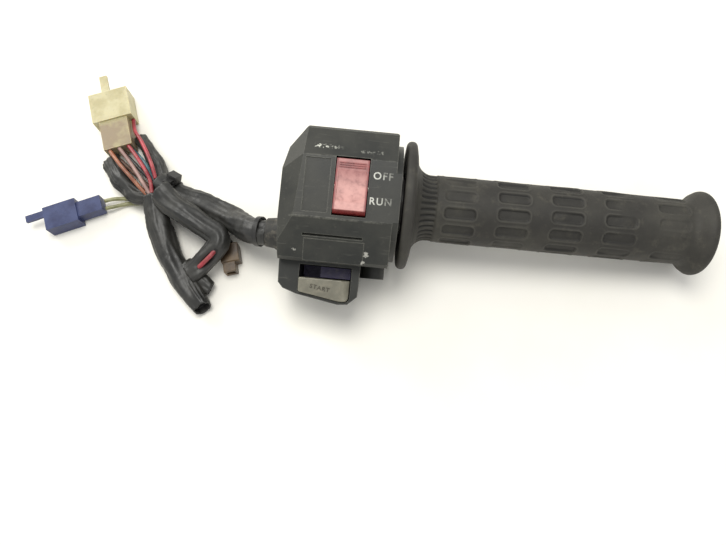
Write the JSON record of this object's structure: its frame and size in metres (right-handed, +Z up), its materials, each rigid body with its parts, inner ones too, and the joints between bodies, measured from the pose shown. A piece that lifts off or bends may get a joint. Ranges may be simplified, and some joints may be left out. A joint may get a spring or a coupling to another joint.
{
  "type": "motorcycle throttle grip",
  "caption": "Right-hand motorcycle throttle grip on its tube, with an engine stop and start switch housing and a sleeved wiring harness.",
  "frame": {"origin": "centre of the footprint of the grip and switch housing, without the harness, on the surface that it lies on", "axes": "+X runs level from the switch housing towards the grip's outer end, +Z is up; the bar axis runs down 4.2 degrees towards +X"},
  "size_m": [0.334, 0.1277, 0.0609],
  "materials": {
    "housing_paint": "worn black enamel over die-cast aluminium",
    "screw_steel": "zinc-plated, dull",
    "pin_steel": "bright ground",
    "rocker_red": "faded red face, worn satin",
    "contact_brass": "plain",
    "switch_base": "dark phenolic",
    "button_grey": "warm grey, worn satin",
    "tube_nylon": "moulded, satin",
    "grip_rubber": "worn matte",
    "gland_rubber": "matte",
    "sleeve_vinyl": "soft satin vinyl, dusty",
    "tie_nylon": "satin",
    "wire_red": "soft satin insulation",
    "wire_pink": "soft satin insulation",
    "wire_orange": "soft satin insulation",
    "wire_teal": "soft satin insulation",
    "wire_black": "soft satin insulation",
    "wire_brown": "soft satin insulation",
    "wire_olive": "soft satin insulation",
    "plug_cream": "aged translucent nylon",
    "plug_blue": "moulded nylon",
    "plug_brown": "moulded nylon, dusty"
  },
  "bodies": {
    "root": {"front_housing": "housing_paint", "rear_housing": "housing_paint", "clamp_screws": "screw_steel", "rocker_pin": "pin_steel", "kill_switch_base": "switch_base", "kill_contacts": "contact_brass", "start_spring": "pin_steel", "start_switch_base": "switch_base", "start_contacts": "contact_brass", "harness_grommet": "gland_rubber", "harness_clip": "tie_nylon", "main_sleeve": "sleeve_vinyl", "loop_sleeve": "sleeve_vinyl", "lower_sleeve": "sleeve_vinyl", "tail_sleeve": "sleeve_vinyl", "left_sleeve": "sleeve_vinyl", "right_sleeve": "sleeve_vinyl", "stub_sleeve": "sleeve_vinyl", "cable_tie": "tie_nylon", "red_wire": "wire_red", "long_red_wire": "wire_red", "pink_wire": "wire_pink", "orange_wire": "wire_orange", "teal_wire": "wire_teal", "black_wire": "wire_black", "brown_wire": "wire_brown", "olive_wire_a": "wire_olive", "olive_wire_b": "wire_olive", "cream_connector": "plug_cream", "cream_terminals": "contact_brass", "blue_connector": "plug_blue", "blue_terminals": "contact_brass", "brown_connector": "plug_brown", "brown_terminals": "contact_brass"},
    "throttle": {"throttle_tube": "tube_nylon", "grip_rubber": "grip_rubber"},
    "rocker": {"kill_rocker": "rocker_red", "rocker_contact": "contact_brass", "detent_ball": "pin_steel", "detent_spring": "pin_steel"},
    "button": {"start_button": "button_grey", "start_bridge": "contact_brass"}
  },
  "joints": [
    {"name": "throttle_twist", "type": "hinge", "parent": "root", "child": "throttle", "pos_m": [0.02142, 0.00909, 0.02522], "axis": [0.9973, 0, -0.0732], "range_deg": [0, 80]},
    {"name": "kill_rock", "type": "hinge", "parent": "root", "child": "rocker", "pos_m": [-0.06001, 0.0062, 0.05233], "axis": [0.9973, 0, -0.0732], "range_deg": [0, 18]},
    {"name": "start_press", "type": "slide", "parent": "root", "child": "button", "axis": [-0.07, 0.2924, -0.9537], "range_m": [0, 0.003], "stiffness_N_per_m": 300, "deforming": ["start_spring"]}
  ]
}
